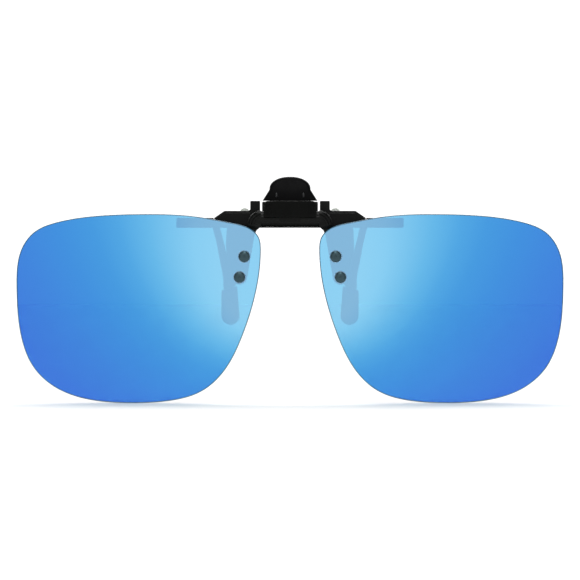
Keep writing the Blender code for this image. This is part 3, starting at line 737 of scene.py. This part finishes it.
def smooth_loop(anchors, count):
    """Return evenly spaced points on the closed cubic spline through the anchors."""
    knots = np.array(anchors, float)
    chord = np.linalg.norm(np.roll(knots, -1, axis=0) - knots, axis=1)
    before = np.roll(chord, 1)
    size = len(knots)
    rows = np.zeros((size, size))
    steps = (np.roll(knots, -1, axis=0) - knots) / chord[:, None]
    for index in range(size):
        rows[index, index - 1] = before[index]
        rows[index, index] = 2 * (before[index] + chord[index])
        rows[index, (index + 1) % size] = chord[index]
    bend = np.linalg.solve(rows, 6 * (steps - np.roll(steps, 1, axis=0)))
    dense = []
    for index in range(size):
        after = (index + 1) % size
        for part in np.linspace(0, 1, 60, endpoint=False):
            near, far = (1 - part), part
            curve = ((near ** 3 - near) * bend[index] + (far ** 3 - far) * bend[after]) * chord[index] ** 2 / 6
            dense.append(near * knots[index] + far * knots[after] + curve)
    dense = np.array(dense + dense[:1])
    travelled = np.r_[0, np.cumsum(np.linalg.norm(np.diff(dense, axis=0), axis=1))]
    wanted = np.linspace(0, travelled[-1], count, endpoint=False)
    return [(np.interp(at, travelled, dense[:, 0]), np.interp(at, travelled, dense[:, 1])) for at in wanted]


def lens_depth(x, z):
    """Return how far the lens curves back at a point."""
    reach = math.hypot(x - LENS_POLE[0], z - LENS_POLE[1])
    return LENS_CURVE_R - math.sqrt(LENS_CURVE_R ** 2 - reach ** 2)


def lens(label, side):
    """Make one curved lens with bevelled edge, mirror front, smoke rear and rivet holes."""
    loop = tidy_loop(smooth_loop(LENS_EDGE, LENS_STEPS))
    centre = np.array(LENS_CENTRE)
    scales = (0.99, 0.96, 0.9, 0.8, 0.68, 0.54, 0.4, 0.25, 0.1)
    bevel = ((0.0, 0.30), (0.03, 0.14), (0.12, 0.03), (0.24, 0.0))

    def at(point, depth):
        return place(side * point[0], point[1], depth + lens_depth(*point), "Y")

    front, back = LENS_BACK - LENS_THICK, LENS_BACK
    core = inset(loop, bevel[-1][0])
    rows = [[at(point, front) for point in centre + scale * (core - centre)] for scale in reversed(scales)]
    rows += [[at(point, front + drop) for point in inset(loop, depth)] for depth, drop in reversed(bevel)]
    rows += [[at(point, back - drop) for point in inset(loop, depth)] for depth, drop in bevel]
    rows += [[at(point, back) for point in centre + scale * (core - centre)] for scale in scales]
    slots = [0] * len(scales) + [2] * (2 * len(bevel) - 1) + [1] * len(scales)
    glass = ringed("mirror_lens_" + label, rows, (at(LENS_CENTRE, front), at(LENS_CENTRE, back)), slots)
    for surface in (MIRROR, SMOKE, RIM):
        glass.data.materials.append(surface)
    for level, x, z in RIVETS:
        drill = prism("hole", circle(side * x, z, HOLE_R), -9.0, -5.0, "Y")
        for surface in (MIRROR, SMOKE, RIM):
            drill.data.materials.append(surface)
        for face in drill.data.polygons:
            face.material_index = 2
        cut(glass, drill)
    return dress(glass, None, "flip", "blue_mirror", "lens_" + label, crease=50.0)


def rivet(level, label, side, x, z):
    """Make a rivet with a low domed head and a small centre dimple."""
    seat = LENS_BACK - LENS_THICK - 0.3
    head = [(1.30, seat), (1.41, seat - 0.05), (1.43, seat - 0.16), (1.38, seat - 0.27),
            (1.25, seat - 0.37), (1.0, seat - 0.47), (0.7, seat - 0.53), (0.36, seat - 0.555),
            (0.27, seat - 0.54), (0.2, seat - 0.47)]
    tail = TAB_BACK + 0.75
    shank = [(0, tail), (0.5, tail), (0.58, tail - 0.05), (0.6, tail - 0.14), (0.6, seat)]
    profile = [*shank, *head, (0, seat - 0.45)]
    made = turned("rivet_head_" + level + "_" + label, profile, side * x, z)
    return dress(made, DARK_STEEL, "flip", "dark_steel", "rivet_" + level + "_" + label)


def washer(level, label, side, x, z):
    """Make the clear washer under a rivet's head."""
    front = LENS_BACK - LENS_THICK - 0.05
    outline = circle(side * x, z, WASHER_R, 56)
    ring = slab("clear_washer_" + level + "_" + label, outline, front - 0.2, front, "Y", 0.06)
    cut(ring, prism("hole", circle(side * x, z, HOLE_R), front - 1.0, front + 1.0, "Y"))
    return dress(ring, NYLON, "flip", "clear_nylon", "washer_" + level + "_" + label)


def nut(level, label, side, x, z):
    """Make the hexagonal nut behind a tab, with its corners turned off."""
    near = TAB_BACK + 0.05
    hexagon = prism("hex_nut_" + level + "_" + label, circle(side * x, z, NUT_R, 6), near, near + 0.7, "Y")
    cone = [(0, near - 0.1), (1.16, near - 0.1), (1.36, near + 0.12), (1.36, near + 0.5), (1.14, near + 0.7),
            (1.1, near + 0.8), (0, near + 0.8)]
    combine(hexagon, turned("cone", cone, side * x, z), "INTERSECT")
    cut(hexagon, prism("hole", circle(side * x, z, 0.66), near - 1.0, near + 2.0, "Y"))
    return dress(hexagon, STEEL, "flip", "bright_steel", "nut_" + level + "_" + label)


# ---- jaw ----

def leaned(y, z):
    """Return a point of the thumb tab, leaned back about its base."""
    return (y + (z - THUMB_BASE) * math.tan(THUMB_LEAN), z)


def leg_outline():
    """Return the front outline of one half of the jaw."""
    foot_low = FOOT[1] - 1.7
    return rounded([
        (3.0, JAW_LOW, 0), (3.0, JAW_TOP, 0), (15.5, JAW_TOP, 1.5), (18.4, 0.35, 1.0), (20.2, -1.1, 0.6),
        (18.9, -6.0, 8.0), (17.1, -15.3, 6.0), (17.1, -17.9, 0), (16.9, -18.2, 0),
        (16.9, foot_low, 1.5), (13.5, foot_low, 1.5), (14.25, -17.4, 0), (13.85, -16.9, 0),
        (16.6, -7.7, 8.0), (18.2, JAW_LOW, 0.8),
    ], 10)


def lever_jaw():
    """Make the rear jaw: knuckles, web, crossbar, legs and the tongue."""
    web = [
        (5.2, 4.0), (5.9, 3.1), (6.7, 2.0), (JAW_BACK, JAW_TOP), (JAW_BACK, JAW_LOW),
        (JAW_FRONT, JAW_LOW), (JAW_FRONT, 0.4), (5.4, 1.6), (4.55, 2.5), (4.55, 3.4), (4.25, 4.0),
    ]
    jaw = slab("clamp_jaw", web, -4.3, 4.3, "X", 0.12)
    tongue = [leaned(4.0, 8.9), leaned(4.9, 8.9), (4.9, THUMB_BASE), (5.3, 3.7), (4.5, 3.5), (4.0, 4.5)]
    join(jaw, slab("tongue", tongue, -3.4, 3.4, "X", 0.08))
    side_view = rounded([
        (JAW_FRONT, JAW_TOP + 1.0, 0), (JAW_FRONT, -2.4, 2.0), (FOOT_FRONT + 0.55, -16.6, 3.0),
        (FOOT_FRONT + 0.55, -30.0, 0), (FOOT_BACK - 0.55, -30.0, 0), (FOOT_BACK - 0.55, -16.6, 3.0),
        (JAW_BACK, -2.0, 2.0), (JAW_BACK, JAW_TOP + 1.0, 0),
    ], 10)
    for label, side in SIDES:
        leg = prism("leg", mirrored(leg_outline(), side), 0.0, 9.0, "Y")
        low, high = sorted((side * 2.0, side * 22.0))
        combine(leg, prism("profile", side_view, low, high, "X"), "INTERSECT")
        join(jaw, leg)
        lug = [(4.9, 1.9), (4.9, 3.3)] + arc(CLAMP_Y, CLAMP_Z, 1.2, 50, 310, 28)
        join(jaw, side_slab("knuckle", lug, (2.9, 4.3), side, 0.1))
    cut(jaw, prism("bore", circle(CLAMP_Y, CLAMP_Z, CLAMP_PIN_R + BORE_GAP), -5.0, 5.0, "X"))
    return dress(jaw, BLACK, "jaw", "moulded_black", "lever_jaw")


def thumb_outline():
    """Return the front outline of the thumb tab: a dome above a flared skirt."""
    wing = [(THUMB_HALF - 0.2, THUMB_LOW, 0.1), (THUMB_HALF, SKIRT_Z, 0), (SKIRT_HALF, SKIRT_Z, 0.05),
            (THUMB_HALF, 7.45, 0)]
    dome = []
    for step in range(2, 47):
        turn = math.pi * step / 48
        bulge = (abs(math.cos(turn)) ** 0.93, abs(math.sin(turn)) ** 0.93)
        dome.append((math.copysign(THUMB_HALF * bulge[0], math.cos(turn)), 7.6 + 3.2 * bulge[1], 0))
    left = [(-x, z, radius) for x, z, radius in reversed(wing)]
    return rounded(left + wing + dome, 4)


def thumb_cap():
    """Make the soft thumb tab, whose face leans back more towards its top, with two grip ribs."""
    corners = tidy_loop(thumb_outline())
    travelled = np.r_[0, np.cumsum(np.linalg.norm(np.roll(corners, -1, axis=0) - corners, axis=1))]
    closed = np.vstack((corners, corners[:1]))
    wanted = np.unique(np.r_[travelled[:-1], np.arange(0, travelled[-1], 0.25)])
    wanted = wanted[np.r_[True, np.diff(wanted) > 0.02]]
    loop = np.stack([np.interp(wanted, travelled, closed[:, part]) for part in (0, 1)], axis=1)
    centre = np.array((0.0, 6.6))

    def front(point, drop=0.0):
        x, z = point
        rise = z - THUMB_BASE
        return place(x, z, THUMB_FRONT + 0.07 * rise + 0.028 * rise ** 2 + 0.008 * x ** 2 + drop, "Y")

    def back(point, drop=0.0):
        x, z = point
        return place(x, z, THUMB_FRONT + THUMB_THICK + (z - THUMB_BASE) * math.tan(THUMB_LEAN) - drop, "Y")

    bands = ((1.0, 0.7), (0.992, 0.45), (0.975, 0.24), (0.95, 0.1), (0.915, 0.02), (0.88, 0.0),
             (0.8, 0.0), (0.7, 0.0), (0.59, 0.0), (0.47, 0.0), (0.35, 0.0), (0.22, 0.0), (0.1, 0.0))
    rows = [[front(point, drop) for point in centre + scale * (loop - centre)]
            for scale, drop in reversed(bands)]
    rows += [[back(point, drop) for point in centre + scale * (loop - centre)] for scale, drop in bands]
    cap = ringed("thumb_tab", rows, (front(centre), back(centre)), [0] * (len(rows) - 1))
    for surface in (SOFT, RIB_PAINTED_HIGHLIGHT):
        cap.data.materials.append(surface)
    for label, side in SIDES:
        profile = [(0, 5.25), (0.12, 5.28), (0.23, 5.37), (0.29, 5.5), (0.31, 5.65),
                   (0.31, 6.3), (0.29, 6.45), (0.23, 6.58), (0.12, 6.67), (0, 6.7)]
        rib = turned("rib", profile, side * RIB_X, THUMB_FRONT + 0.24, "Z", 24)
        for surface in (SOFT, RIB_PAINTED_HIGHLIGHT):
            rib.data.materials.append(surface)
        for face in rib.data.polygons:
            face.material_index = 1
        join(cap, rib)
    pocket = [(3.85, 4.0), (3.85, THUMB_BASE), leaned(3.85, 9.05),
              leaned(5.05, 9.05), (5.05, THUMB_BASE), (5.5, 4.0)]
    cut(cap, prism("pocket", pocket, -3.55, 3.55, "X"))
    return dress(cap, None, "jaw", "soft_touch_black", "thumb_cap")


def leg_sleeve(label, side):
    """Make the rubber foot on one leg."""
    x, z = FOOT
    outline = rounded([(13.55, -17.3, 0.2), (x + 2.4, -18.4, 0.3), (x + 2.4, z - 2.4, 2.25),
                       (x - 2.4, z - 2.4, 2.25)], 14)
    sleeve = slab("foot_rubber_" + label, mirrored(outline, side), FOOT_FRONT, FOOT_BACK, "Y", 0.5, 5)
    hollow = rounded([(14.05, -16.5, 0), (17.35, -16.5, 0), (x + 1.85, -18.6, 0),
                      (x + 1.85, z - 1.85, 1.6), (x - 1.85, z - 1.85, 1.6)], 8)
    cut(sleeve, prism("pocket", mirrored(hollow, side), FOOT_FRONT + 0.4, FOOT_BACK - 0.4, "Y"))
    return dress(sleeve, RUBBER, "jaw", "rubber_black", "leg_sleeve_" + label)


def torsion_spring():
    """Make the spring round the clamp pin, which winds up between clip and jaw."""
    coil_r, half, turns, wire_r = 0.95, 2.2, 7.25, 0.2
    path = [(-half, -0.02, CLAMP_Z - coil_r), (-half, 0.7, CLAMP_Z - coil_r), (-half, 1.5, CLAMP_Z - coil_r)]
    count = int(turns * 28)
    for step in range(count + 1):
        angle = math.radians(-90 + 360 * turns * step / count)
        path.append((-half + 2 * half * step / count, CLAMP_Y + coil_r * math.cos(angle),
                     CLAMP_Z + coil_r * math.sin(angle)))
    path.append((half, CLAMP_Y + coil_r, CLAMP_Z + 0.5))
    path.append((half, CLAMP_Y + coil_r, CLAMP_Z + 1.05))
    points = [Vector(point) * MM for point in path]
    shape = bmesh.new()
    rings = []
    across = Vector((1, 0, 0))
    for index, point in enumerate(points):
        along = (points[min(index + 1, len(points) - 1)] - points[max(index - 1, 0)]).normalized()
        across = (across - along * across.dot(along)).normalized()
        third = along.cross(across)
        rings.append([point + wire_r * MM * (math.cos(turn) * across + math.sin(turn) * third)
                      for turn in [2 * math.pi * step / 12 for step in range(12)]])
    skin(shape, rings)
    spring = add_object("wound_spring", shape)
    dress(spring, STEEL, None, "bright_steel", "torsion_spring")
    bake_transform(spring)
    return spring


def build():
    """Make every piece."""
    clip_body()
    hinge_cover()
    detent_leaf()
    pin("flip_hinge_pin", FLIP_Y, FLIP_Z, FLIP_PIN_R, 8.2, "hinge_pin")
    pin("clamp_hinge_pin", CLAMP_Y, CLAMP_Z, CLAMP_PIN_R, 6.75, "clamp_pin")
    lens_bridge()
    lever_jaw()
    thumb_cap()
    torsion_spring()
    for label, side in SIDES:
        clamp_clip(label, side)
        bar_sleeve(label, side)
        rim_pad(label, side)
        lens(label, side)
        leg_sleeve(label, side)
        for level, x, z in RIVETS:
            rivet(level, label, side, x, z)
            washer(level, label, side, x, z)
            nut(level, label, side, x, z)


# ---- studio ----

def world_light(tree):
    """Light the scene softly from behind and in front; the camera itself sees plain white."""
    def math_node(operation, first, second):
        made = tree.nodes.new("ShaderNodeMath")
        made.operation = operation
        for socket, value in zip(made.inputs, (first, second)):
            if isinstance(value, bpy.types.NodeSocket):
                tree.links.new(value, socket)
            else:
                socket.default_value = value
        return made.outputs[0]

    def rise(value, low, high, first=0.0, last=1.0):
        made = tree.nodes.new("ShaderNodeMapRange")
        made.interpolation_type = "SMOOTHSTEP"
        tree.links.new(value, made.inputs["Value"])
        for key, setting in zip(("From Min", "From Max", "To Min", "To Max"), (low, high, first, last)):
            made.inputs[key].default_value = setting
        return made.outputs["Result"]

    where = tree.nodes.new("ShaderNodeTexCoord")
    split = tree.nodes.new("ShaderNodeSeparateXYZ")
    tree.links.new(where.outputs["Generated"], split.inputs["Vector"])
    front = rise(math_node("MULTIPLY", split.outputs["Y"], -1.0), FRONT_PANEL[0], FRONT_PANEL[1])
    sky = rise(split.outputs["Y"], 0.15, 0.75, AMBIENT, BACK_LIGHT)
    ground = rise(split.outputs["Y"], -0.5, 0.2, GROUND_FRONT, GROUND_BACK)
    up = rise(split.outputs["Z"], -0.3, -0.02)
    below = math_node("MULTIPLY", ground, math_node("SUBTRACT", 1.0, up))
    rest = math_node("ADD", math_node("MULTIPLY", sky, up), below)
    strength = math_node("ADD", front, math_node("MULTIPLY", rest, math_node("SUBTRACT", 1.0, front)))
    lit = tree.nodes["Background"]
    lit.inputs["Color"].default_value = (1.0, 1.0, 1.0, 1.0)
    tree.links.new(strength, lit.inputs["Strength"])
    seen = tree.nodes.new("ShaderNodeBackground")
    seen.inputs["Color"].default_value = (1.0, 1.0, 1.0, 1.0)
    seen.inputs["Strength"].default_value = WHITE
    path = tree.nodes.new("ShaderNodeLightPath")
    blend = tree.nodes.new("ShaderNodeMixShader")
    tree.links.new(path.outputs["Is Camera Ray"], blend.inputs["Fac"])
    tree.links.new(lit.outputs["Background"], blend.inputs[1])
    tree.links.new(seen.outputs["Background"], blend.inputs[2])
    tree.links.new(blend.outputs["Shader"], tree.nodes["World Output"].inputs["Surface"])


def studio():
    """Make the floor, the lights and the camera."""
    scene = bpy.context.scene
    scene.view_settings.view_transform = "Standard"

    shape = bmesh.new()
    bmesh.ops.create_grid(shape, x_segments=8, y_segments=8, size=FLOOR_HALF)
    floor = add_object("studio_floor", shape)
    floor.location = (0.0, 0.0, FLOOR_Z * MM)
    floor.data.materials.append(floor_paper())
    floor.visible_glossy = False

    world = bpy.data.worlds.new("studio_surround")
    scene.world = world
    world.use_nodes = True
    world_light(world.node_tree)

    for kind, name, spot, power in LIGHTS:
        light = bpy.data.lights.new(name, kind)
        if kind == "SUN":
            light.angle = SUN_ANGLE
        else:
            light.shape = "SQUARE"
            light.size = BOX_SIZE
        light.energy = power
        lamp = bpy.data.objects.new(name, light)
        lamp.location = spot
        lamp.rotation_euler = (Vector((0.0, 0.0, -0.01)) - Vector(spot)).to_track_quat("-Z", "Y").to_euler()
        scene.collection.objects.link(lamp)

    data = bpy.data.cameras.new("camera")
    data.sensor_width = 36.0
    data.lens = CAMERA_AWAY * 36.0 / VIEW_WIDTH
    camera = bpy.data.objects.new("camera", data)
    lift = math.radians(CAMERA_LIFT)
    target = Vector(CAMERA_TARGET) * MM
    camera.location = target + CAMERA_AWAY * MM * Vector((0.0, -math.cos(lift), math.sin(lift)))
    camera.rotation_euler = (math.radians(90) - lift, 0.0, 0.0)
    scene.collection.objects.link(camera)
    scene.camera = camera


build()
studio()
